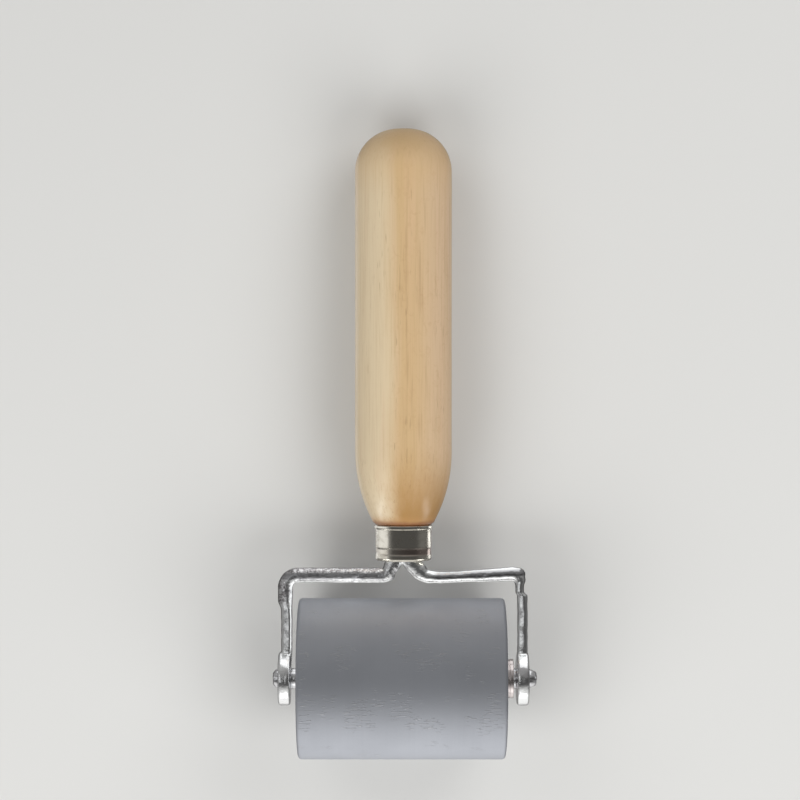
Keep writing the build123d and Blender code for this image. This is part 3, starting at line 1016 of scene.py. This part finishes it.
# Small lights that only gloss picks up, as name: (angle from the right, height above level,
# width, height, power in W, the pieces that they light).
GLINTS = {
    "foot_left": (217, 5, 80.0, 400.0, 0.65, WOOD_PIECES),
    "foot_right": (323, 5, 80.0, 400.0, 0.50, WOOD_PIECES),
    "handle_left": (180, -60, 500.0, 300.0, 0.28, WOOD_PIECES),
    "handle_right": (0, -60, 500.0, 300.0, 0.08, WOOD_PIECES),
    "ferrule_left": (180, -15, 340.0, 1080.0, 0.74, FERRULE_PIECES),
    "ferrule_right": (0, -42, 340.0, 270.0, 0.38, FERRULE_PIECES),
    "forging_front": (270, 18, 440.0, 300.0, 0.30, STEEL_PIECES),
    "forging_back": (82, -5, 640.0, 1175.0, 2.05, STEEL_PIECES),
    "forging_left": (180, 56, 300.0, 700.0, 0.42, STEEL_PIECES),
    "axle_left": (180, 8, 240.0, 200.0, 0.15, AXLE_PIECES),
    "axle_right": (0, 8, 240.0, 200.0, 0.15, AXLE_PIECES),
    "drum_top": (270, 80, 700.0, 700.0, 0.24, DRUM_PIECES),
    "drum_back": (90, -20, 150.0, 150.0, 0.20, DRUM_PIECES),
    "drum_front": (270, -30, 150.0, 150.0, 0.02, DRUM_PIECES),
}
# A pale card that the left upright mirrors, on the drum's side of it.
CARD_PLACE = (-14.0, 14.0, -2.0)
CARD_AIM = (-35.0, 14.0, -2.0)
CARD_WIDTH = 36.0
CARD_HEIGHT = 34.0
CARD_POWER = 0.0035


def standing(turn, height_deg):
    """A place round the tool at the lights' distance."""
    swing = Matrix.Rotation(math.radians(turn), 3, "Z")
    rise = Matrix.Rotation(-math.radians(height_deg), 3, "Y")
    return LIT_MIDDLE + swing @ rise @ Vector((SOFTBOX_DISTANCE, 0, 0))


def lights():
    """Soft keys for the wood and floor; the metals mirror the tent and the glints."""
    for name, (turn, power) in SOFTBOXES.items():
        at = standing(turn, SOFTBOX_HEIGHT_DEG)
        key = softbox(name, at, SOFTBOX_SIZE, SOFTBOX_SIZE, power, LIT_MIDDLE)
        key.visible_glossy = False
    for name, (turn, rise, width, height, power, pieces) in GLINTS.items():
        glint = softbox(name, standing(turn, rise), width, height, power, LIT_MIDDLE)
        light_only(glint, pieces)


def upright_card():
    """The card stands inside the drum, which takes no part in its light."""
    card = softbox("upright_card", CARD_PLACE, CARD_WIDTH, CARD_HEIGHT, CARD_POWER, CARD_AIM)
    card.visible_camera = False
    light_only(card, STEEL_PIECES)


def light_only(lamp, pieces):
    """Keeps a lamp to the gloss of the named pieces, which alone shade one another from it."""
    lamp.visible_diffuse = False
    group = bpy.data.collections.new(lamp.name + "_lit")
    for piece in pieces:
        group.objects.link(bpy.data.objects[piece])
    lamp.light_linking.receiver_collection = group
    lamp.light_linking.blocker_collection = group


CAMERA_DISTANCE = 700.0
VIEW_MIDDLE = (-1.1, 87.0)
VIEW_WIDTH = 250.0
SENSOR_WIDTH = 36.0


def camera():
    lens = bpy.data.cameras.new("camera")
    lens.sensor_width = SENSOR_WIDTH
    lens.lens = SENSOR_WIDTH * CAMERA_DISTANCE / VIEW_WIDTH
    made = bpy.data.objects.new("camera", lens)
    bpy.context.collection.objects.link(made)
    made.matrix_world = TOOL @ Matrix.Translation(Vector((*VIEW_MIDDLE, CAMERA_DISTANCE)) * MM)
    bpy.context.scene.camera = made


camera()
studio_tent()
floor()
handle()
ferrule()
fork()
axle()
drum()
collar()
bearing_parts()
lights()
upright_card()
bpy.context.scene.view_settings.view_transform = "Standard"
